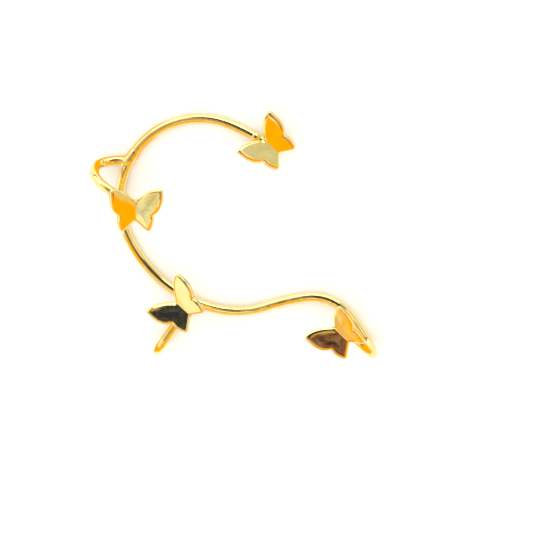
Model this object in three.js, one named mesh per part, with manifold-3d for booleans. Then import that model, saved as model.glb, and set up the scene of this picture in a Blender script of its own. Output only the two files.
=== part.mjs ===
// An ear cuff that needs no piercing: a round polished wire that follows the back of the ear, two clips
// and a hook that come round to its front, and a cast butterfly on each of the four wire ends.
// Millimetres, +Z up. The cuff lies on its back as it would by itself, with the wire that sits behind
// the ear flat on the surface and the butterflies facing up. +Y points to the top of the ear.
import * as THREE from 'three';
import { mergeVertices } from 'three/addons/utils/BufferGeometryUtils.js';
import Module from 'manifold-3d';

// Wire
const WIRE_DIAMETER = 1.5;
const WIRE_SIDES = 16;
const WIRE_STEP = 0.85;

// Main wire, bent in one plane from under butterfly 1, round the back of the ear and down to the lobe
const EAR_RADIUS = 13;
const LOBE_RADIUS = 7.2;
const FIRST_HEADING = 146.5;

// Clips and hook: the room between the wire behind the ear and the arm in front of it, and the longest arm
const EAR_SLOT = 4.5;
const CLIP_ARM = 5.9;
const CLIP_BEND = 1.2;
const U_FULLNESS = 2 / 3;

// Butterflies, measured in the plane of a wing
const WING_SPAN = 4.22;
const WING_LENGTH = 6.85;
const WING_THICKNESS = 1;
const WING_RISE = 27;
const RIM_WIDTH = 0.4;
const RIM_DEPTH = 0.25;
const RIM_STEPS = 2;
const TIP_RADIUS = 1.2 * RIM_WIDTH;
const OUTLINE_STEPS = 6;
const FOLD_OVERLAP = 0.02;
const SAME_POINT = 0.001;

// Solder under each butterfly and where a clip meets the main wire, and the gap between separate pieces
const PAD_DIAMETER = 2.1;
const PAD_HEIGHT = 0.15;
const SOLDER_BUILD_UP = 0.1;
const PIECE_GAP = 0.2;

// The stretches of the main wire. A positive turn is to the left, in degrees.
const EAR_BENDS = {
  end: { radius: 2.6 * EAR_RADIUS, turn: 12 },
  overTheEar: { radius: EAR_RADIUS, turn: 136 },
  behindTheEar: { radius: 1.55 * EAR_RADIUS, turn: 53.5 },
  underTheEar: { radius: 1.15 * EAR_RADIUS, turn: 32 },
  towardsTheLobe: { radius: 4.4 * LOBE_RADIUS, turn: -12 },
  overTheLobe: { radius: LOBE_RADIUS, turn: -60 },
  downTheLobe: { radius: 5 * LOBE_RADIUS, turn: -6 },
};

// The clips leave the main wire at a share of its length and head outwards for the length of the back arm.
// The front arm lies sideways from it, to the left of the way out, and heads back over the ear. The hook is
// the main wire's own end. Headings are in degrees.
const UPPER_CLIP = {
  at: 0.2965,
  out: 180,
  arm: 0.22 * CLIP_ARM,
  sideways: 0.98 * EAR_SLOT,
  back: 328,
  front: 0.755 * CLIP_ARM,
};
const LOWER_CLIP = {
  at: 0.623,
  out: 235,
  arm: CLIP_ARM,
  sideways: 0.13 * EAR_SLOT,
  back: 55,
  front: 1.03 * CLIP_ARM,
};
const HOOK = { sideways: 0.03 * EAR_SLOT, back: 140, front: 0.46 * CLIP_ARM };

// The outline of one wing, as shares of the span outwards from the fold and of the length towards the
// head. The edges bow towards their points and run smoothly into the round tips.
const WING_POINTS = {
  foldHead: { out: 0, along: 0.243 },
  foreEdge: { out: 0.44, along: 0.545 },
  foreTip: { out: 1, along: 0.567 },
  sideEdge: { out: 1.04, along: 0.085 },
  notch: { out: 0.63, along: -0.055 },
  hindEdge: { out: 0.71, along: -0.2 },
  hindTip: { out: 0.455, along: -0.43 },
  tailEdge: { out: 0.2, along: -0.33 },
  foldTail: { out: 0, along: -0.243 },
};

// How each butterfly is turned on its wire end: where its head points, and how it is pitched and rolled
const BUTTERFLY_TURNS = [
  { name: 'butterfly_1', heading: 140, pitch: 13, roll: 12 },
  { name: 'butterfly_2', heading: 85, pitch: 12, roll: 19 },
  { name: 'butterfly_3', heading: 140, pitch: -6, roll: -1 },
  { name: 'butterfly_4', heading: 135, pitch: 9, roll: -15 },
];

const WIRE_RADIUS = WIRE_DIAMETER / 2;
const WING_DEPTH = WING_THICKNESS / Math.cos(THREE.MathUtils.degToRad(WING_RISE));
const SEAT_HEIGHT = WIRE_RADIUS + PAD_HEIGHT + PIECE_GAP + WING_DEPTH;

const wasm = await Module();
wasm.setup();

function toSolid(geometry) {
  const bare = geometry.clone();
  bare.deleteAttribute('normal');
  bare.deleteAttribute('uv');
  const merged = mergeVertices(bare, 1e-4);
  return new wasm.Manifold(
    new wasm.Mesh({
      numProp: 3,
      vertProperties: new Float32Array(merged.attributes.position.array),
      triVerts: new Uint32Array(merged.index.array),
    }),
  );
}

function toGeometry(solid) {
  const { vertProperties, triVerts } = solid.getMesh();
  const geometry = new THREE.BufferGeometry();
  geometry.setAttribute('position', new THREE.BufferAttribute(vertProperties, 3));
  geometry.setIndex(new THREE.BufferAttribute(triVerts, 1));
  const faceted = geometry.toNonIndexed();
  faceted.computeVertexNormals();
  return faceted;
}

// A unit vector in the plane that the main wire lies in
function towards(headingDegrees) {
  const heading = THREE.MathUtils.degToRad(headingDegrees);
  return new THREE.Vector3(Math.cos(heading), Math.sin(heading), 0);
}

// A level stretch of wire that turns at one radius
class Bend extends THREE.Curve {
  constructor(start, heading, radius, turn) {
    super();
    this.start = start;
    this.heading = THREE.MathUtils.degToRad(heading);
    this.turn = THREE.MathUtils.degToRad(turn);
    this.side = Math.sign(turn) * radius;
  }

  getPoint(t, target = new THREE.Vector3()) {
    const heading = this.heading + this.turn * t;
    return target.set(
      this.start.x + this.side * (Math.sin(heading) - Math.sin(this.heading)),
      this.start.y - this.side * (Math.cos(heading) - Math.cos(this.heading)),
      this.start.z,
    );
  }
}

// The main wire as far as the lobe, starting where butterfly 1 sits
function mainWire() {
  const wire = new THREE.CurvePath();
  let start = new THREE.Vector3(0, 0, WIRE_RADIUS);
  let heading = FIRST_HEADING;
  for (const { radius, turn } of Object.values(EAR_BENDS)) {
    const bend = new Bend(start, heading, radius, turn);
    wire.add(bend);
    start = bend.getPoint(1);
    heading += turn;
  }
  return { wire, end: start, heading };
}

// Round from behind the ear to its front: a U over the ear's edge, then the front arm.
function addFrontArm(wire, start, out, { sideways, back, front }) {
  const across = towards(out + 90).multiplyScalar(sideways);
  const rise = new THREE.Vector3(0, 0, EAR_SLOT + WIRE_DIAMETER);
  const turned = start.clone().add(across).add(rise);
  const reach = U_FULLNESS * start.distanceTo(turned);
  const leaving = start.clone().addScaledVector(towards(out), reach);
  const arriving = turned.clone().addScaledVector(towards(back), -reach);
  const seat = turned.clone().addScaledVector(towards(back), front);
  wire.add(new THREE.CubicBezierCurve3(start, leaving, arriving, turned));
  wire.add(new THREE.LineCurve3(turned, seat));
  return seat;
}

// A clip leaves the main wire along it, bends outwards, and comes round to the front.
function clip(main, row) {
  const root = main.getPointAt(row.at);
  const corner = root.clone().addScaledVector(main.getTangentAt(row.at), CLIP_BEND);
  const armStart = corner.clone().addScaledVector(towards(row.out), CLIP_BEND);
  const armEnd = corner.clone().addScaledVector(towards(row.out), row.arm);
  const wire = new THREE.CurvePath();
  wire.add(new THREE.QuadraticBezierCurve3(root, corner, armStart));
  wire.add(new THREE.LineCurve3(armStart, armEnd));
  const seat = addFrontArm(wire, armEnd, row.out, row);
  return { wire, corner, seat };
}

// The wire's section has a flat side down, so a level wire rests on it.
function wireSection() {
  const section = new THREE.Shape();
  const cornerRadius = WIRE_RADIUS / Math.cos(Math.PI / WIRE_SIDES);
  for (let side = 0; side < WIRE_SIDES; side++) {
    const angle = ((side + 0.5) * 2 * Math.PI) / WIRE_SIDES;
    const x = cornerRadius * Math.cos(angle);
    const y = cornerRadius * Math.sin(angle);
    if (side === 0) section.moveTo(x, y);
    else section.lineTo(x, y);
  }
  section.closePath();
  return section;
}

function wireSolid(path) {
  const steps = Math.ceil(path.getLength() / WIRE_STEP);
  return toSolid(new THREE.ExtrudeGeometry(wireSection(), { extrudePath: path, steps }));
}

function ball(radius, centre) {
  const geometry = new THREE.SphereGeometry(radius, WIRE_SIDES, WIRE_SIDES / 2);
  return toSolid(geometry.translate(centre.x, centre.y, centre.z));
}

// The angle on a round tip, from straight outwards, where the line from a point beside it just touches
// it. Side is 1 for the next edge clockwise round the wing, and -1 for the one before.
function touching(tip, [x, y], side) {
  const towardsPoint = Math.atan2(y - tip.y, x - tip.x);
  return towardsPoint + side * Math.acos(TIP_RADIUS / Math.hypot(x - tip.x, y - tip.y));
}

function onTip({ x, y }, angle) {
  return [x + TIP_RADIUS * Math.cos(angle), y + TIP_RADIUS * Math.sin(angle)];
}

// Half a butterfly, flat: x outwards from the fold, y towards the head, with a fore wing and a hind wing.
// Side is 1 for the right wing and -1 for the left. The outline runs on past the fold.
function wingOutline(side) {
  const place = ({ out, along }) => [out * WING_SPAN, along * WING_LENGTH];
  const { foldHead, foreEdge, foreTip, sideEdge, notch } = WING_POINTS;
  const { hindEdge, hindTip, tailEdge, foldTail } = WING_POINTS;
  const fore = { x: foreTip.out * WING_SPAN - TIP_RADIUS, y: foreTip.along * WING_LENGTH - TIP_RADIUS };
  const hind = { x: hindTip.out * WING_SPAN, y: hindTip.along * WING_LENGTH + TIP_RADIUS };
  const foreAngles = [touching(fore, place(foreEdge), -1), touching(fore, place(sideEdge), 1)];
  const hindAngles = [touching(hind, place(hindEdge), -1), touching(hind, place(tailEdge), 1)];
  const outline = new THREE.Shape();
  outline.moveTo(-WING_THICKNESS, place(foldHead)[1]);
  outline.lineTo(...place(foldHead));
  outline.quadraticCurveTo(...place(foreEdge), ...onTip(fore, foreAngles[0]));
  outline.absarc(fore.x, fore.y, TIP_RADIUS, ...foreAngles, true);
  outline.quadraticCurveTo(...place(sideEdge), ...place(notch));
  outline.quadraticCurveTo(...place(hindEdge), ...onTip(hind, hindAngles[0]));
  outline.absarc(hind.x, hind.y, TIP_RADIUS, ...hindAngles, true);
  outline.quadraticCurveTo(...place(tailEdge), ...place(foldTail));
  outline.lineTo(-WING_THICKNESS, place(foldTail)[1]);
  const points = outline.getPoints(OUTLINE_STEPS).map(({ x, y }) => new THREE.Vector2(side * x, y));
  const isNew = (point, index) => index === 0 || point.distanceTo(points[index - 1]) > SAME_POINT;
  return new THREE.Shape(points.filter(isNew));
}

// The space on one side of the fold and just past it, as a block larger than a butterfly
function sideBlock(side) {
  const size = 4 * WING_LENGTH;
  return toSolid(new THREE.BoxGeometry(size, size, size).translate(side * (size / 2 - FOLD_OVERLAP), 0, 0));
}

// One wing, turned up about the fold. Its front face holds the fold line.
function wing(side) {
  const geometry = new THREE.ExtrudeGeometry(wingOutline(side), {
    depth: WING_THICKNESS - 2 * RIM_DEPTH,
    bevelThickness: RIM_DEPTH,
    bevelSize: RIM_WIDTH,
    bevelOffset: -RIM_WIDTH,
    bevelSegments: RIM_STEPS,
  });
  geometry.translate(0, 0, RIM_DEPTH - WING_THICKNESS);
  geometry.rotateY(-side * THREE.MathUtils.degToRad(WING_RISE));
  return toSolid(geometry).intersect(sideBlock(side));
}

function butterflySolid() {
  return wing(1).add(wing(-1));
}

// All above one wing's underside, lowered by the gap, which the solder and the wire end are cut away by
function aboveUnderside(side) {
  const size = 2 * WING_LENGTH;
  const geometry = new THREE.BoxGeometry(size, size, size);
  geometry.translate(0, 0, size / 2 - WING_THICKNESS - PIECE_GAP);
  geometry.rotateY(-side * THREE.MathUtils.degToRad(WING_RISE));
  return toSolid(geometry).intersect(sideBlock(side));
}

// Where a butterfly sits on its wire end
function butterflyPlace(seat, { heading, pitch, roll }) {
  const rotation = new THREE.Quaternion().setFromEuler(
    new THREE.Euler(
      THREE.MathUtils.degToRad(pitch),
      THREE.MathUtils.degToRad(roll),
      THREE.MathUtils.degToRad(heading - 90),
      'ZXY',
    ),
  );
  const front = new THREE.Vector3(0, 0, 1).applyQuaternion(rotation);
  const position = seat.clone().addScaledVector(front, SEAT_HEIGHT);
  return { position, rotation };
}

// A blob of solder between the wire end and the butterfly's underside
function solderPad(seat, rotation) {
  const front = new THREE.Vector3(0, 0, 1).applyQuaternion(rotation);
  const lift = PAD_DIAMETER / 2 - WIRE_RADIUS + PAD_HEIGHT;
  return ball(PAD_DIAMETER / 2, seat.clone().addScaledVector(front, lift));
}

// The soldered wire: the main wire with its hook, the two clips, and the solder
const main = mainWire();
const hooked = new THREE.CurvePath();
hooked.curves.push(...main.wire.curves);
const hookSeat = addFrontArm(hooked, main.end, main.heading, HOOK);
const clips = [UPPER_CLIP, LOWER_CLIP].map((row) => clip(main.wire, row));
const seats = [main.wire.getPoint(0), ...clips.map(({ seat }) => seat), hookSeat];
const places = BUTTERFLY_TURNS.map((turns, index) => butterflyPlace(seats[index], turns));

let cuffWire = wireSolid(hooked);
for (const { wire, corner } of clips) {
  const solderCentre = corner.clone().setZ(WIRE_RADIUS + SOLDER_BUILD_UP);
  cuffWire = cuffWire.add(wireSolid(wire)).add(ball(WIRE_RADIUS + SOLDER_BUILD_UP, solderCentre));
}
for (const [index, { position, rotation }] of places.entries()) {
  const cut = toGeometry(aboveUnderside(1).add(aboveUnderside(-1)));
  cut.applyQuaternion(rotation).translate(position.x, position.y, position.z);
  const seat = seats[index];
  cuffWire = cuffWire.add(ball(WIRE_RADIUS, seat)).add(solderPad(seat, rotation)).subtract(toSolid(cut));
}

// The finish: pale gold plating, polished
const wirePlating = new THREE.MeshStandardMaterial({ color: 0xdcb45a, roughness: 0.12, metalness: 1 });
const castPlating = new THREE.MeshStandardMaterial({ color: 0xe2bb62, roughness: 0.09, metalness: 1 });

const lying = new THREE.Group();
const wireMesh = new THREE.Mesh(toGeometry(cuffWire), wirePlating);
wireMesh.name = 'cuff_wire';
lying.add(wireMesh);
const butterflyGeometry = toGeometry(butterflySolid());
for (const [index, { position, rotation }] of places.entries()) {
  const butterfly = new THREE.Mesh(butterflyGeometry, castPlating);
  butterfly.name = BUTTERFLY_TURNS[index].name;
  butterfly.position.copy(position);
  butterfly.quaternion.copy(rotation);
  lying.add(butterfly);
}

// The origin is under the middle of the cuff, on the surface that it lies on.
const box = new THREE.Box3().setFromObject(lying, true);
const middle = box.getCenter(new THREE.Vector3());
lying.position.set(-middle.x, -middle.y, -box.min.z);

const earCuff = new THREE.Group();
earCuff.add(lying);

export default earCuff;
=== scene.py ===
import bpy
import numpy as np
from mathutils import Matrix, Vector
from mathutils.geometry import delaunay_2d_cdt


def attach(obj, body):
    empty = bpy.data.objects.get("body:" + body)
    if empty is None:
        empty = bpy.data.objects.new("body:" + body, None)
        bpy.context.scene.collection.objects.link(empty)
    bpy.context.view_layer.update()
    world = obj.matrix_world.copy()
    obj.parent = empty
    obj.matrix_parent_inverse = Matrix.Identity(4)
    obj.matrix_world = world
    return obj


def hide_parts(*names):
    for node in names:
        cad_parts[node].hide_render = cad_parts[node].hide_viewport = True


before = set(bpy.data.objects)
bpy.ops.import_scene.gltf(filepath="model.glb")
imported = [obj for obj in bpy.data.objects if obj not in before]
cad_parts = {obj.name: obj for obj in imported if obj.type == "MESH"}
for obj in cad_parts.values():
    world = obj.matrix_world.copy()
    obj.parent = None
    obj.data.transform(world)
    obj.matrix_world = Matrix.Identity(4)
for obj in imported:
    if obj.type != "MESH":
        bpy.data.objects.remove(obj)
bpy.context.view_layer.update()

# The main wire: one length of 1.5 mm drawn brass wire, bent in one plane from the end under the first
# butterfly round the back of the ear to the lobe, then turned up in a hook, polished and gold plated.
MM = 0.001
WIRE_RADIUS = 0.75
WIRE_START = np.array((5.20519, 13.60156, WIRE_RADIUS))
FIRST_HEADING = 146.5
EAR_RADIUS = 13.0
LOBE_RADIUS = 7.2
EAR_BENDS = [
    (2.6 * EAR_RADIUS, 12),
    (EAR_RADIUS, 136),
    (1.55 * EAR_RADIUS, 53.5),
    (1.15 * EAR_RADIUS, 32),
    (4.4 * LOBE_RADIUS, -12),
    (LOBE_RADIUS, -60),
    (5 * LOBE_RADIUS, -6),
]
EAR_SLOT = 4.5
CLIP_ARM = 5.9
U_FULLNESS = 2 / 3
U_STEPS = 60
HOOK = dict(sideways=0.03 * EAR_SLOT, back=140, front=0.46 * CLIP_ARM)
WIRE_SIDES = 40
WIRE_STEP = 0.2
END_ROUNDING = (84, 66, 48, 30, 14)
PALE_GOLD = (0.93, 0.80, 0.37)
DEEP_GOLD = (0.86, 0.70, 0.27)


def towards(heading):
    return np.array((np.cos(np.radians(heading)), np.sin(np.radians(heading)), 0.0))


def lengths_along(line):
    return np.concatenate([[0], np.cumsum(np.linalg.norm(np.diff(line, axis=0), axis=1))])


def bent_wire():
    """The main wire's middle line, and the place and heading where the hook begins."""
    line, start, heading = [WIRE_START], WIRE_START, FIRST_HEADING
    for radius, turn in EAR_BENDS:
        side = np.sign(turn) * radius
        centre = start + side * towards(heading + 90)
        steps = int(np.ceil(radius * np.radians(abs(turn)) / WIRE_STEP))
        for share in np.arange(1, steps + 1) / steps:
            line.append(centre - side * towards(heading + turn * share + 90))
        start, heading = line[-1], heading + turn
    return np.array(line), start, heading


def front_arm(start, out, sideways, back, front):
    """Round from behind the ear to its front: a U over the ear's edge, then the front arm."""
    turned = start + sideways * towards(out + 90) + np.array((0, 0, EAR_SLOT + 2 * WIRE_RADIUS))
    reach = U_FULLNESS * np.linalg.norm(turned - start)
    leaving = start + reach * towards(out)
    arriving = turned - reach * towards(back)
    seat = turned + front * towards(back)
    t = np.linspace(0, 1, U_STEPS + 1)[1:, None]
    bow = (1 - t) ** 3 * start + 3 * (1 - t) ** 2 * t * leaving
    bow = bow + 3 * (1 - t) * t**2 * arriving + t**3 * turned
    arm = turned + (seat - turned) * np.linspace(0, 1, max(3, int(front / WIRE_STEP)))[1:, None]
    return np.vstack([bow, arm]), seat


def add_mesh(name, points, faces, smooth=True):
    mesh = bpy.data.meshes.new(name)
    mesh.from_pydata([tuple(p) for p in points], [], [tuple(f) for f in faces])
    mesh.update()
    for face in mesh.polygons:
        face.use_smooth = smooth
    piece = bpy.data.objects.new(name, mesh)
    bpy.context.scene.collection.objects.link(piece)
    return piece


def mark_points(piece, name, places):
    """Keeps a place in millimetres with each point of a piece, for its finish to follow."""
    marks = piece.data.attributes.new(name, "FLOAT_VECTOR", "POINT")
    marks.data.foreach_set("vector", np.array(places, np.float32).ravel())


def tube(name, line):
    """Round wire along a line, with both ends rounded off.

    Each point is marked with two places across the wire and one along it.
    """
    ahead = np.gradient(line, axis=0)
    ahead /= np.linalg.norm(ahead, axis=1)[:, None]
    run = lengths_along(line)
    side = np.cross(ahead[0], (0, 0, 1.0))
    sides = []
    for tangent in ahead:
        side = side - tangent * side.dot(tangent)
        side /= np.linalg.norm(side)
        sides.append(side)
    rounding = np.radians(END_ROUNDING)
    last = len(line) - 1
    stations = [(line[0] - ahead[0] * WIRE_RADIUS * np.sin(a), 0, np.cos(a)) for a in rounding]
    stations += [(point, i, 1) for i, point in enumerate(line)]
    stations += [(line[-1] + ahead[-1] * WIRE_RADIUS * np.sin(a), last, np.cos(a)) for a in rounding[::-1]]
    angles = 2 * np.pi * np.arange(WIRE_SIDES) / WIRE_SIDES
    cos, sin = np.cos(angles)[:, None], np.sin(angles)[:, None]
    rings, places = [], []
    for point, i, share in stations:
        other = np.cross(ahead[i], sides[i])
        rings.append(point + share * WIRE_RADIUS * (cos * sides[i] + sin * other))
        along = np.full_like(cos, run[i] + (point - line[i]).dot(ahead[i]))
        places.append(np.hstack([WIRE_RADIUS * cos, WIRE_RADIUS * sin, along]))
    faces = []
    for ring in range(len(rings) - 1):
        for k in range(WIRE_SIDES):
            a = ring * WIRE_SIDES + k
            b = ring * WIRE_SIDES + (k + 1) % WIRE_SIDES
            faces.append((a, b, b + WIRE_SIDES, a + WIRE_SIDES))
    top = (len(rings) - 1) * WIRE_SIDES
    faces.append(tuple(range(WIRE_SIDES))[::-1])
    faces.append(tuple(range(top, top + WIRE_SIDES)))
    piece = add_mesh(name, np.vstack(rings) * MM, faces)
    mark_points(piece, "drawn", np.vstack(places))
    return piece


def add_node(finish, kind, values, **settings):
    """A node of a finish. Values are numbers, colours or the outputs that feed it."""
    made = finish.node_tree.nodes.new(kind)
    for key, value in settings.items():
        setattr(made, key, value)
    for key, value in values.items():
        if isinstance(value, bpy.types.NodeSocket):
            finish.node_tree.links.new(value, made.inputs[key])
        else:
            made.inputs[key].default_value = value
    return made


def two_golds(finish, place, scale):
    """The plating's colour, in soft patches of deep and pale gold."""
    patches = add_node(finish, "ShaderNodeTexNoise", {"Vector": place, "Scale": scale, "Detail": 4})
    colour = add_node(finish, "ShaderNodeValToRGB", {"Fac": patches.outputs["Fac"]})
    deep, pale = colour.color_ramp.elements
    deep.position, deep.color = 0.3, (*DEEP_GOLD, 1)
    pale.position, pale.color = 0.7, (*PALE_GOLD, 1)
    return colour.outputs["Color"]


def metal(name):
    finish = bpy.data.materials.new(name)
    finish.use_nodes = True
    shader = finish.node_tree.nodes["Principled BSDF"]
    shader.inputs["Metallic"].default_value = 1.0
    return finish, shader


def drawn_wire_finish():
    """Gold plate over drawn wire: fine lines along it and a slight waver."""
    finish, shader = metal("plated_wire")
    link = finish.node_tree.links.new
    place = add_node(finish, "ShaderNodeAttribute", {}, attribute_name="drawn").outputs["Vector"]
    link(two_golds(finish, place, 0.55), shader.inputs["Base Color"])
    stretched = add_node(finish, "ShaderNodeMapping", {"Vector": place, "Scale": (6.0, 6.0, 0.25)})
    lines = add_node(
        finish, "ShaderNodeTexNoise", {"Vector": stretched.outputs["Vector"], "Scale": 2.2, "Detail": 6}
    )
    rough = add_node(
        finish,
        "ShaderNodeMapRange",
        {"Value": lines.outputs["Fac"], "From Min": 0.3, "From Max": 0.75, "To Min": 0.03, "To Max": 0.1},
    )
    link(rough.outputs["Result"], shader.inputs["Roughness"])
    waver = add_node(finish, "ShaderNodeTexNoise", {"Vector": place, "Scale": 0.8, "Detail": 2})
    bent = add_node(
        finish, "ShaderNodeBump", {"Height": waver.outputs["Fac"], "Strength": 1.0, "Distance": 0.02 * MM}
    )
    scratched = add_node(
        finish,
        "ShaderNodeBump",
        {
            "Height": lines.outputs["Fac"],
            "Strength": 1.0,
            "Distance": 0.003 * MM,
            "Normal": bent.outputs["Normal"],
        },
    )
    link(scratched.outputs["Normal"], shader.inputs["Normal"])
    return finish


def fix(piece, finish, node):
    piece.data.materials.append(finish)
    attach(piece, "root")
    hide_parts(node)


plated_wire = drawn_wire_finish()
ear_line, lobe_end, lobe_heading = bent_wire()
hook_line, hook_seat = front_arm(lobe_end, lobe_heading, **HOOK)
main_line = np.vstack([ear_line, hook_line])
fix(tube("main_wire", main_line), plated_wire, "cuff_wire")

# The two clips: short lengths of the same wire, soldered to the main wire where they leave it, bent
# outwards and round the ear's edge so that their front arms lie in front of it.
CLIP_BEND = 1.2
CLIP_BEND_STEPS = 12
ONWARD = 0.05
UPPER_CLIP = dict(
    at=0.2965, out=180, arm=0.22 * CLIP_ARM, sideways=0.98 * EAR_SLOT, back=328, front=0.755 * CLIP_ARM
)
LOWER_CLIP = dict(
    at=0.623, out=235, arm=CLIP_ARM, sideways=0.13 * EAR_SLOT, back=55, front=1.03 * CLIP_ARM
)


def clip_line(at, out, arm, sideways, back, front):
    """A clip's middle line, the corner where it turns away from the main wire, and its seat in front."""
    run = lengths_along(ear_line)
    where = at * run[-1]
    root, onward = (
        np.array([np.interp(place, run, ear_line[:, k]) for k in range(3)])
        for place in (where, where + ONWARD)
    )
    corner = root + CLIP_BEND * (onward - root) / np.linalg.norm(onward - root)
    arm_start = corner + CLIP_BEND * towards(out)
    arm_end = corner + arm * towards(out)
    t = np.linspace(0, 1, CLIP_BEND_STEPS + 1)[:, None]
    bow = (1 - t) ** 2 * root + 2 * (1 - t) * t * corner + t**2 * arm_start
    steps = max(2, int(np.linalg.norm(arm_end - arm_start) / WIRE_STEP) + 1)
    straight = arm_start + (arm_end - arm_start) * np.linspace(0, 1, steps)[1:, None]
    around, seat = front_arm(arm_end, out, sideways, back, front)
    return np.vstack([bow, straight, around]), corner, seat


upper_line, upper_corner, upper_seat = clip_line(**UPPER_CLIP)
lower_line, lower_corner, lower_seat = clip_line(**LOWER_CLIP)
fix(tube("upper_clip", upper_line), plated_wire, "cuff_wire")
fix(tube("lower_clip", lower_line), plated_wire, "cuff_wire")

# The butterflies: four brass castings from one mould, each two wings that rise from a fold, with a broad
# rounded rim. They are polished until they mirror the room and plated like the wire.
WING_SPAN = 4.2
WING_LENGTH = 6.82
WING_THICKNESS = 1.0
WING_RISE = 27
RIM_WIDTH = 0.4
LEADING_RIM_WIDTH = 0.62
RIM_DEPTH = 0.25
TIP_RADIUS = 0.48
FORE_TIP = (95, -5)
HIND_TIP = (-25, -120)
TIP_STEPS = 8
BOW_STEPS = 16
FOLD_SOFTNESS = 0.06
MARGIN_DROP = 0.05
MARGIN_WIDTH = 0.6
DOME = 0.007
RIM_RINGS = (0.008, 0.025, 0.05, 0.085, 0.13, 0.185, 0.25, 0.33, 0.42, 0.52, 0.63)
RING_SLACK = 0.9
GRID_STEP = 0.11
GRID_REACH = 40
GRID_INSET = 0.7
FOLD_COLUMNS = (-1, -0.66, -0.33, 0.33, 0.66, 1)
FOLD_INSET = 0.03
PAD_HEIGHT = 0.15
PIECE_GAP = 0.2
TURNS = [(140, 13, 12), (85, 12, 19), (140, -6, -1), (135, 9, -15)]


def half_outline():
    """The right wing's edge from the head end of the fold to the tail end, flat, with its rim's widths."""

    def spot(out, along):
        return np.array((out * WING_SPAN, along * WING_LENGTH))

    fore = spot(1, 0.567) - TIP_RADIUS
    hind = spot(0.455, -0.43) + np.array((0, TIP_RADIUS))
    edge = [spot(0, 0.243)]
    widths = [LEADING_RIM_WIDTH]

    def bow(by, to, width):
        start, first = edge[-1], widths[-1]
        for t in np.arange(1, BOW_STEPS + 1) / BOW_STEPS:
            edge.append((1 - t) ** 2 * start + 2 * (1 - t) * t * by + t**2 * to)
            widths.append(first + (width - first) * t)

    def on_tip(centre, degrees):
        return centre + TIP_RADIUS * towards(degrees)[:2]

    def round_tip(centre, degrees_round):
        for degrees in np.linspace(*degrees_round, TIP_STEPS + 1)[1:]:
            edge.append(on_tip(centre, degrees))
            widths.append(widths[-1])

    bow(spot(0.44, 0.545), on_tip(fore, FORE_TIP[0]), LEADING_RIM_WIDTH)
    round_tip(fore, FORE_TIP)
    bow(spot(1.04, 0.085), spot(0.63, -0.055), RIM_WIDTH)
    bow(spot(0.71, -0.2), on_tip(hind, HIND_TIP[0]), RIM_WIDTH)
    round_tip(hind, HIND_TIP)
    bow(spot(0.2, -0.33), spot(0, -0.243), RIM_WIDTH)
    return np.array(edge), np.array(widths)


right_edge, right_widths = half_outline()
edge = np.vstack([right_edge, (right_edge * (-1, 1))[::-1][1:-1]])
rim_widths = np.concatenate([right_widths, right_widths[::-1][1:-1]])
next_edge = np.roll(edge, -1, axis=0)


def from_edge(points):
    """How far points of the flat butterfly lie in from its edge, and the rim's width there."""
    along = next_edge - edge
    t = np.clip(((points[:, None] - edge) * along).sum(2) / (along**2).sum(1), 0, 1)
    gaps = np.sqrt(((points[:, None] - (edge + t[..., None] * along)) ** 2).sum(2))
    nearest = gaps.argmin(1)
    return gaps.min(1), rim_widths[nearest]


def within(points):
    x, y = points[:, None, 0], points[:, None, 1]
    above, next_above = edge[:, 1] > y, next_edge[:, 1] > y
    slope = (next_edge[:, 0] - edge[:, 0]) / (next_edge[:, 1] - edge[:, 1] + 1e-12)
    crosses = (above != next_above) & (x < edge[:, 0] + slope * (y - edge[:, 1]))
    return crosses.sum(1) % 2 == 1


def flat_sheet():
    """Points and triangles of the flat butterfly, with rings of points along its rim and a grid inside."""
    last_edge = np.roll(edge, 1, axis=0)
    tangent = (next_edge - edge) / np.linalg.norm(next_edge - edge, axis=1)[:, None]
    tangent += (edge - last_edge) / np.linalg.norm(edge - last_edge, axis=1)[:, None]
    tangent /= np.linalg.norm(tangent, axis=1)[:, None]
    inward = np.stack([tangent[:, 1], -tangent[:, 0]], 1)
    points = [edge]
    for depth in RIM_RINGS:
        ring = edge + inward * depth
        good = within(ring)
        good[good] = from_edge(ring[good])[0] > RING_SLACK * depth
        points.append(ring[good])
    rows = np.arange(-GRID_REACH, GRID_REACH + 1) * GRID_STEP
    columns = np.concatenate([rows, np.array(FOLD_COLUMNS) * FOLD_SOFTNESS])
    grid = np.stack(np.meshgrid(columns, rows), -1).reshape(-1, 2)
    grid = grid[within(grid)]
    points.append(grid[from_edge(grid)[0] > GRID_INSET])
    near_fold = grid[(np.abs(grid[:, 0]) <= FOLD_SOFTNESS + 1e-9)]
    gap = from_edge(near_fold)[0]
    points.append(near_fold[(gap > FOLD_INSET) & (gap <= GRID_INSET)])
    points = np.vstack(points)
    loop = [(i, (i + 1) % len(edge)) for i in range(len(edge))]
    found = delaunay_2d_cdt([Vector(p) for p in points], loop, [list(range(len(edge)))], 1, 1e-7)
    return np.array([tuple(v) for v in found[0]]), [tuple(f) for f in found[2]]


def fold(points, heights):
    """Turns a flat sheet of points with heights up on both sides of the fold."""
    x = points[:, 0]
    rise = np.radians(WING_RISE) * np.clip(x / FOLD_SOFTNESS, -1, 1)
    inner = np.clip(x, -FOLD_SOFTNESS, FOLD_SOFTNESS)
    steep = np.radians(WING_RISE) / FOLD_SOFTNESS
    outer = x - inner
    over = np.sin(steep * inner) / steep + outer * np.cos(np.radians(WING_RISE))
    up = (1 - np.cos(steep * inner)) / steep + np.abs(outer) * np.sin(np.radians(WING_RISE))
    return np.stack([over - heights * np.sin(rise), points[:, 1], up + heights * np.cos(rise)], 1)


def roll_off(depth, width):
    """How far a rounded rim falls away at a depth in from the edge."""
    return RIM_DEPTH * (1 - np.sqrt(1 - (1 - np.clip(depth / width, 0, 1)) ** 2))


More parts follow.
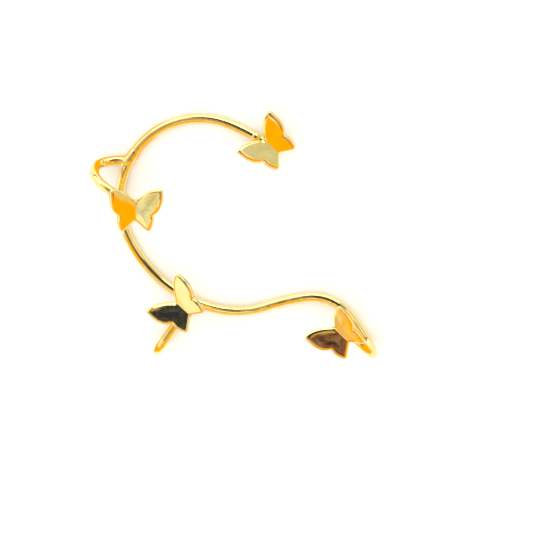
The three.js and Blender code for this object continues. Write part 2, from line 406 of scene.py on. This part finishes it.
def butterfly_shape():
    sheet, triangles = flat_sheet()
    depth, width = from_edge(sheet)
    depth[: len(edge)] = 0
    margin = MARGIN_DROP * np.exp(-depth / MARGIN_WIDTH)
    front = fold(sheet, -margin - DOME * sheet[:, 1] ** 2 - roll_off(depth, width))
    back = fold(sheet, -WING_THICKNESS + roll_off(depth, RIM_WIDTH))
    middle = fold(edge, np.full(len(edge), -WING_THICKNESS / 2))
    count = len(sheet)
    faces = [*triangles, *(tuple(count + i for i in t[::-1]) for t in triangles)]
    for i in range(len(edge)):
        j = (i + 1) % len(edge)
        faces.append((j, i, 2 * count + i, 2 * count + j))
        faces.append((2 * count + j, 2 * count + i, count + i, count + j))
    return np.vstack([front, back, middle]), faces


def casting_finish():
    """Gold plate on a polished casting: slightly wavy, with hairlines from the buff and tiny pits."""
    finish, shader = metal("plated_casting")
    link = finish.node_tree.links.new
    place = add_node(finish, "ShaderNodeAttribute", {}, attribute_name="cast").outputs["Vector"]
    link(two_golds(finish, place, 0.5), shader.inputs["Base Color"])
    stretched = add_node(finish, "ShaderNodeMapping", {"Vector": place, "Scale": (0.4, 7.0, 1.0)})
    hairlines = add_node(
        finish, "ShaderNodeTexNoise", {"Vector": stretched.outputs["Vector"], "Scale": 1.6, "Detail": 6}
    )
    pits = add_node(finish, "ShaderNodeTexVoronoi", {"Vector": place, "Scale": 1.5, "Randomness": 1.0})
    pit_depth = add_node(
        finish,
        "ShaderNodeMapRange",
        {"Value": pits.outputs["Distance"], "From Min": 0.0, "From Max": 0.16, "To Min": 0.0, "To Max": 1.0},
    )
    hairline = hairlines.outputs["Fac"]
    rough = add_node(
        finish,
        "ShaderNodeMapRange",
        {"Value": hairline, "From Min": 0.3, "From Max": 0.75, "To Min": 0.02, "To Max": 0.08},
    )
    link(rough.outputs["Result"], shader.inputs["Roughness"])
    waves = add_node(finish, "ShaderNodeTexNoise", {"Vector": place, "Scale": 0.45, "Detail": 1})
    reliefs = [(waves.outputs["Fac"], 0.008), (hairline, 0.003), (pit_depth.outputs["Result"], 0.004)]
    normal = None
    for height, depth in reliefs:
        values = {"Height": height, "Strength": 1.0, "Distance": depth * MM}
        if normal is not None:
            values["Normal"] = normal
        normal = add_node(finish, "ShaderNodeBump", values).outputs["Normal"]
    link(normal, shader.inputs["Normal"])
    return finish


def turned_by(heading, pitch, roll):
    turns = Matrix.Rotation(np.radians(heading - 90), 3, "Z") @ Matrix.Rotation(np.radians(pitch), 3, "X")
    return np.array(turns @ Matrix.Rotation(np.radians(roll), 3, "Y"))


plated_casting = casting_finish()
shape, shape_faces = butterfly_shape()
seats = [WIRE_START, upper_seat, lower_seat, hook_seat]
seat_height = WIRE_RADIUS + PAD_HEIGHT + PIECE_GAP + WING_THICKNESS / np.cos(np.radians(WING_RISE))
for number, (seat, turns) in enumerate(zip(seats, TURNS), start=1):
    rotation = turned_by(*turns)
    place = seat + seat_height * rotation[:, 2]
    butterfly = add_mesh(f"butterfly_{number}_casting", (place + shape @ rotation.T) * MM, shape_faces)
    mark_points(butterfly, "cast", shape + (0, 0, 20.0 * number))
    fix(butterfly, plated_casting, f"butterfly_{number}")

# The solder: a smooth fillet where each clip leaves the main wire, and a pad that fills the room between
# each wire end and the butterfly it holds. It is plated over with the wire.
FILLET = 0.55
UNDER_WIRE = 0.006
OFF_TABLE = 0.01
BEAD = dict(height=0.85, radius=0.8, fillet=0.3)
JOINT_RADIUS = 2.1
JOINT_ROOM = (2.3, 2.3, 1.2)
JOINT_WIRE = 4
PAD_RADIUS = 1.05
PAD_FILLET = 0.5
PAD_MIDDLE = 0.6
PAD_REACH = 2.2
PAD_ROOM = (2.4, 2.4, 2.4)
PAD_WIRE = 3.4
SPILL = dict(along=2.6, lift=0.12, radius=0.78, fillet=0.4)
SPILL_REACH = 3.2
SPILL_ROOM = (3.4, 3.4, 2.4)
INTO_CASTING = 0.05
SKIN_CELL = 0.07
SKIN_STEP = 0.002


def wire_depth(line):
    """A field: how far points lie out from the surface of the wire along a line."""

    def field(points):
        nearest = np.full(len(points), np.inf)
        for start, end in zip(line[:-1], line[1:]):
            run = end - start
            t = np.clip((points - start) @ run / (run @ run), 0, 1)
            nearest = np.minimum(nearest, ((points - start - t[:, None] * run) ** 2).sum(1))
        return np.sqrt(nearest) - WIRE_RADIUS

    return field


def blob(centre, radius):
    return lambda points: np.linalg.norm(points - centre, axis=1) - radius


def flowed(first, second, fillet):
    """Two fields run together with a fillet between them."""

    def field(points):
        a, b = first(points), second(points)
        share = np.clip(0.5 + 0.5 * (b - a) / fillet, 0, 1)
        return b + (a - b) * share - fillet * share * (1 - share)

    return field


def skin(name, field, centre, reach):
    """A closed surface where a field is nought, within a box round a centre."""
    low = centre - reach
    counts = np.ceil(2 * reach / SKIN_CELL).astype(int) + 1
    grid = np.stack(np.meshgrid(*(np.arange(n) for n in counts), indexing="ij"), -1)
    values = field(low + SKIN_CELL * grid.reshape(-1, 3)).reshape(counts)
    total, hits, quads = np.zeros((*counts, 3)), np.zeros(counts), []
    for axis in range(3):
        here = np.take(values, range(counts[axis] - 1), axis)
        there = np.take(values, range(1, counts[axis]), axis)
        edges = np.argwhere((here < 0) != (there < 0))
        a, b = here[tuple(edges.T)], there[tuple(edges.T)]
        crossing = edges.astype(float)
        crossing[:, axis] += a / (a - b)
        around = np.repeat(edges[:, None], 4, axis=1)
        around[:, (1, 2), (axis + 1) % 3] -= 1
        around[:, (2, 3), (axis + 2) % 3] -= 1
        cells = tuple(around.reshape(-1, 3).T)
        np.add.at(total, cells, np.repeat(crossing, 4, axis=0))
        np.add.at(hits, cells, 1)
        around[a > 0] = around[a > 0][:, ::-1]
        quads.append(around)
    used = hits > 0
    numbers = np.cumsum(used).reshape(counts) - 1
    points = low + SKIN_CELL * total[used] / hits[used][:, None]
    faces = numbers[tuple(np.vstack(quads).reshape(-1, 3).T)].reshape(-1, 4)
    for _ in range(3):
        rises = [field(points + SKIN_STEP * axis) - field(points - SKIN_STEP * axis) for axis in np.eye(3)]
        gradient = np.stack(rises, 1) / (2 * SKIN_STEP)
        points -= field(points)[:, None] * gradient / (gradient**2).sum(1)[:, None]
    piece = add_mesh(name, points * MM, faces.tolist())
    mark_points(piece, "drawn", points)
    return piece


def near(line, centre, distance):
    return line[np.linalg.norm(line - centre, axis=1) < distance]


def trimmed(solder, end, points):
    """Solder as a field, cut off at its end and just above the table."""
    return np.maximum(np.maximum(solder, end(points)), OFF_TABLE - points[:, 2])


for name, line, corner in (("upper", upper_line, upper_corner), ("lower", lower_line, lower_corner)):
    main, clip = (wire_depth(near(wire, corner, JOINT_WIRE)) for wire in (ear_line, line))
    bead = blob(corner * (1, 1, 0) + (0, 0, BEAD["height"]), BEAD["radius"])
    run_over = flowed(flowed(main, clip, FILLET), bead, BEAD["fillet"])
    end = blob(corner, JOINT_RADIUS)

    def at_joint(points):
        return trimmed(run_over(points) + UNDER_WIRE, end, points)

    joint = skin(f"{name}_clip_solder", at_joint, corner, np.array(JOINT_ROOM))
    fix(joint, plated_wire, "cuff_wire")

wires = [ear_line, upper_line[::-1], lower_line[::-1], main_line[::-1]]
for number, (seat, turns, line) in enumerate(zip(seats, TURNS, wires), start=1):
    rotation = turned_by(*turns)
    place = seat + seat_height * rotation[:, 2]
    middle = seat + PAD_MIDDLE * rotation[:, 2]
    wing_backs = [
        rotation @ np.array((-side * np.sin(np.radians(WING_RISE)), 0, np.cos(np.radians(WING_RISE))))
        for side in (1, -1)
    ]
    lift = PAD_RADIUS - WIRE_RADIUS + PAD_HEIGHT
    arm = wire_depth(line[lengths_along(line) < PAD_WIRE])
    pad = flowed(arm, blob(seat + lift * rotation[:, 2], PAD_RADIUS), PAD_FILLET)
    end, room = blob(middle, PAD_REACH), PAD_ROOM
    if number == 1:
        # The first pad's solder ran on along the wire.
        spill = line[lengths_along(line) < SPILL["along"]][-1] + (0, 0, SPILL["lift"])
        pad = flowed(pad, blob(spill, SPILL["radius"]), SPILL["fillet"])
        end, room = blob(middle, SPILL_REACH), SPILL_ROOM

    def under_butterfly(points):
        out_of_casting = np.minimum(*((points - place) @ back + WING_THICKNESS for back in wing_backs))
        inside = np.maximum(pad(points) + UNDER_WIRE, out_of_casting - INTO_CASTING)
        return trimmed(inside, end, points)

    solder = skin(f"butterfly_{number}_solder", under_butterfly, middle, np.array(room))
    fix(solder, plated_wire, "cuff_wire")

# The table: a plain pale surface that the cuff lies on, wide enough for any view of it.
TABLE_HALF = 0.9

table_paint = bpy.data.materials.new("pale_table")
table_paint.use_nodes = True
paint = table_paint.node_tree.nodes["Principled BSDF"]
paint.inputs["Base Color"].default_value = (0.92, 0.91, 0.89, 1)
paint.inputs["Roughness"].default_value = 0.6
corners = [(x * TABLE_HALF, y * TABLE_HALF, 0) for x, y in ((-1, -1), (1, -1), (1, 1), (-1, 1))]
table = add_mesh("table", corners, [(0, 1, 2, 3)], smooth=False)
table.data.materials.append(table_paint)

# The light: an even pale room, one large soft lamp overhead, and cards round the cuff that only its
# polished metal shows, as a jeweller's light tent has. Far cards form the tent, and small near ones
# stand where one wing or one bend of the wire shows them.
ROOM_COLOUR = (1.0, 0.985, 0.95)
ROOM_STRENGTH = 1.25
MOTTLING_START = 0.3
CARD_DISTANCE = 0.45
CARD_COLUMNS = 25
CARD_ROWS = 13
NEAR_DISTANCE = 0.03
CURB_DISTANCE = 0.055
WHITE = (1.0, 0.98, 0.93)
ORANGE = (1.0, 0.44, 0.0)

world = bpy.data.worlds.new("pale_room")
world.use_nodes = True
world.node_tree.nodes["Background"].inputs["Color"].default_value = (*ROOM_COLOUR, 1)
world.node_tree.nodes["Background"].inputs["Strength"].default_value = ROOM_STRENGTH
bpy.context.scene.world = world

lamp_data = bpy.data.lights.new("soft_lamp", "AREA")
lamp_data.shape = "DISK"
lamp_data.size = 0.5
lamp_data.energy = 0.7
lamp = bpy.data.objects.new("soft_lamp", lamp_data)
lamp.location = (0.2, -0.2, 0.6)
lamp.rotation_euler = (-Vector(lamp.location)).to_track_quat("-Z", "Y").to_euler()
lamp.visible_glossy = False
bpy.context.scene.collection.objects.link(lamp)


def paper(card, colour, strength=1.0, mottling=(), grain=42):
    """Gives a card its colour, or clouds of several colours, and hides it from all but the metal."""
    coat = bpy.data.materials.new(card.name)
    coat.use_nodes = True
    tree = coat.node_tree
    tree.nodes.remove(tree.nodes["Principled BSDF"])
    glow = add_node(coat, "ShaderNodeEmission", {"Color": (*colour, 1), "Strength": strength})
    if mottling:
        place = add_node(coat, "ShaderNodeTexCoord", {}).outputs["Object"]
        cloud = add_node(coat, "ShaderNodeTexNoise", {"Vector": place, "Scale": grain, "Detail": 5})
        ramp = add_node(coat, "ShaderNodeValToRGB", {"Fac": cloud.outputs["Fac"]})
        patches = ramp.color_ramp.elements
        patches[0].position = MOTTLING_START
        patches[0].color = (*colour, 1)
        patches.remove(patches[1])
        for position, patch in mottling:
            patches.new(position).color = (*patch, 1)
        tree.links.new(ramp.outputs["Color"], glow.inputs["Color"])
    tree.links.new(glow.outputs["Emission"], tree.nodes["Material Output"].inputs["Surface"])
    card.data.materials.append(coat)
    card.visible_camera = False
    card.visible_diffuse = False
    card.visible_shadow = False
    card.visible_transmission = False
    card.visible_volume_scatter = False


def add_card(name, turns, heights, *coat, distance=CARD_DISTANCE, lean=0, **more):
    """A card bent round the cuff, between two compass directions and two heights, in degrees.

    Directions count from the face towards the top of the ear, and distances are in metres. Its edges
    climb by lean degrees for each degree of turn past the middle.
    """
    columns = np.radians(np.linspace(*turns, CARD_COLUMNS))
    rows = np.radians(np.linspace(*heights, CARD_ROWS))
    points = []
    for row in rows:
        for a in columns:
            h = row + lean * (a - columns.mean())
            points.append(distance * np.array((np.cos(h) * np.cos(a), np.cos(h) * np.sin(a), np.sin(h))))
    corners = [r * CARD_COLUMNS + c for r in range(CARD_ROWS - 1) for c in range(CARD_COLUMNS - 1)]
    faces = [(i, i + 1, i + CARD_COLUMNS + 1, i + CARD_COLUMNS) for i in corners]
    paper(add_mesh(name, points, faces), *coat, **more)


SHADE = (0.02, 0.023, 0.05)
GREY_SHADE = (0.06, 0.07, 0.13)
BROWN = (0.16, 0.1, 0.08)
RUST = (0.6, 0.2, 0.1)
KHAKI = (0.5, 0.44, 0.3)
TAN = (0.62, 0.42, 0.24)
GREY = (0.74, 0.73, 0.66)
PALE_GREY = (0.86, 0.85, 0.78)
GREY_MOTTLING = ((0.44, GREY), (0.62, PALE_GREY))
DARK_MOTTLING = ((0.44, SHADE), (0.5, GREY_SHADE), (0.56, SHADE), (0.61, SHADE), (0.64, (0.4, 0.4, 0.42)))
RUST_MOTTLING = (
    (0.42, SHADE), (0.45, BROWN), (0.47, RUST), (0.49, RUST), (0.5, SHADE), (0.53, SHADE),
    (0.55, BROWN), (0.58, (0.7, 0.62, 0.55)), (0.63, BROWN),
)
add_card("white_card", (140, 225), (14, 33), WHITE, 1.25)
add_card("white_card_upper", (140, 231), (33, 45), WHITE, 1.2)
add_card("white_card_top", (140, 231), (45, 50), WHITE, 1.0)
add_card("seam_card", (202, 226), (48.4, 49.5), (0.34, 0.33, 0.25), distance=0.44, lean=-0.6)
add_card("khaki_card", (140, 231), (50, 60), (0.92, 0.87, 0.72))
add_card("warm_card_low", (222, 339), (-3, 14), ORANGE, 1.3)
add_card("warm_card_middle", (225, 339), (14, 33), ORANGE, 1.3)
add_card("warm_card_right", (339, 380), (20, 33), ORANGE, 1.3)
add_card("warm_card_high", (231, 380), (33, 54), ORANGE, 1.3)
add_card("warm_card_top", (326, 374), (54, 76), (0.9, 0.45, 0.06))
add_card("warm_curb", (225, 256), (0, 9.5), ORANGE, 1.3, distance=CURB_DISTANCE)
add_card("pale_warm_curb", (256, 290), (0, 9.5), (1.0, 0.66, 0.22), 1.1, distance=CURB_DISTANCE)
add_card("pale_card_low", (236, 250), (24, 38), (1.0, 0.75, 0.65), 1.1, distance=0.44)
add_card("grey_card_low", (339, 380), (-4, 20), (0.85, 0.77, 0.52))
add_card("grey_card", (20, 58), (6, 38), GREY, mottling=GREY_MOTTLING)
add_card("far_white_card", (58, 140), (8, 42), WHITE, 2.6)
add_card("far_warm_strip", (20, 140), (-6, 8), (0.75, 0.28, 0.03))
add_card("tan_card", (85, 140), (42, 48.6), TAN)
add_card("tan_card_left", (140, 158), (36, 58), TAN, distance=NEAR_DISTANCE)
add_card("tan_card_left_high", (140, 168), (58, 68), TAN, distance=NEAR_DISTANCE)
add_card("shade_card_far", (45, 85), (38, 70), SHADE, mottling=DARK_MOTTLING, grain=90)
add_card("shade_card_far_left", (85, 120), (48.6, 70), SHADE, mottling=DARK_MOTTLING, grain=90)
add_card("brown_card_far", (45, 120), (70, 76), BROWN)
add_card("shade_card_near", (240, 262), (63, 76), (0.3, 0.22, 0.14))
add_card("tan_card_near", (262, 326), (54, 76), TAN)
add_card("shade_card_top", (0, 360), (76, 90), BROWN)
add_card("rust_card", (318, 340), (47, 66), SHADE, distance=0.08, mottling=RUST_MOTTLING, grain=340)
add_card("khaki_card_left", (120, 225), (60, 76), KHAKI)
add_card("khaki_card_near_shade", (14, 45), (60, 76), KHAKI)
add_card("warm_card_near_shade", (14, 45), (54, 60), ORANGE, 1.1)
add_card("warm_clip_card", (190, 206), (4, 38), ORANGE, 1.3, distance=NEAR_DISTANCE)
add_card("warm_clip_card_low", (206, 234), (2, 20), ORANGE, 1.3, distance=NEAR_DISTANCE)
add_card("pale_clip_card", (258, 280), (0, 24), (0.95, 0.8, 0.5), distance=NEAR_DISTANCE)
# One more card lies flat on the table beside the upper clip, which mirrors it.
mat_corners = [(x * MM, y * MM, 0.02 * MM) for x, y in ((-24, 10.5), (-12.5, 10.5), (-12.5, 21), (-24, 21))]
paper(add_mesh("warm_mat", mat_corners, [(0, 1, 2, 3)], smooth=False), ORANGE, 1.3)

# The camera: it looks down on the front of the cuff from a little above the middle of the ear, with a
# long lens.
LOOK_AT = Vector((5.10519, -5.77844, 0)) * MM
TO_CAMERA = Vector((0.19, 0.12, 0.974)).normalized()
CAMERA_DISTANCE = 278 * MM
LENS = 118.67

across = Vector((0, 1, 0)).cross(TO_CAMERA).normalized()
upwards = TO_CAMERA.cross(across)
camera_data = bpy.data.cameras.new("camera")
camera_data.lens = LENS
camera_data.sensor_width = 36
camera_data.clip_start = 0.01
camera = bpy.data.objects.new("camera", camera_data)
turn = Matrix((across, upwards, TO_CAMERA)).transposed().to_4x4()
camera.matrix_world = Matrix.Translation(LOOK_AT + TO_CAMERA * CAMERA_DISTANCE) @ turn
bpy.context.scene.collection.objects.link(camera)
bpy.context.scene.camera = camera
bpy.context.scene.view_settings.view_transform = "Standard"
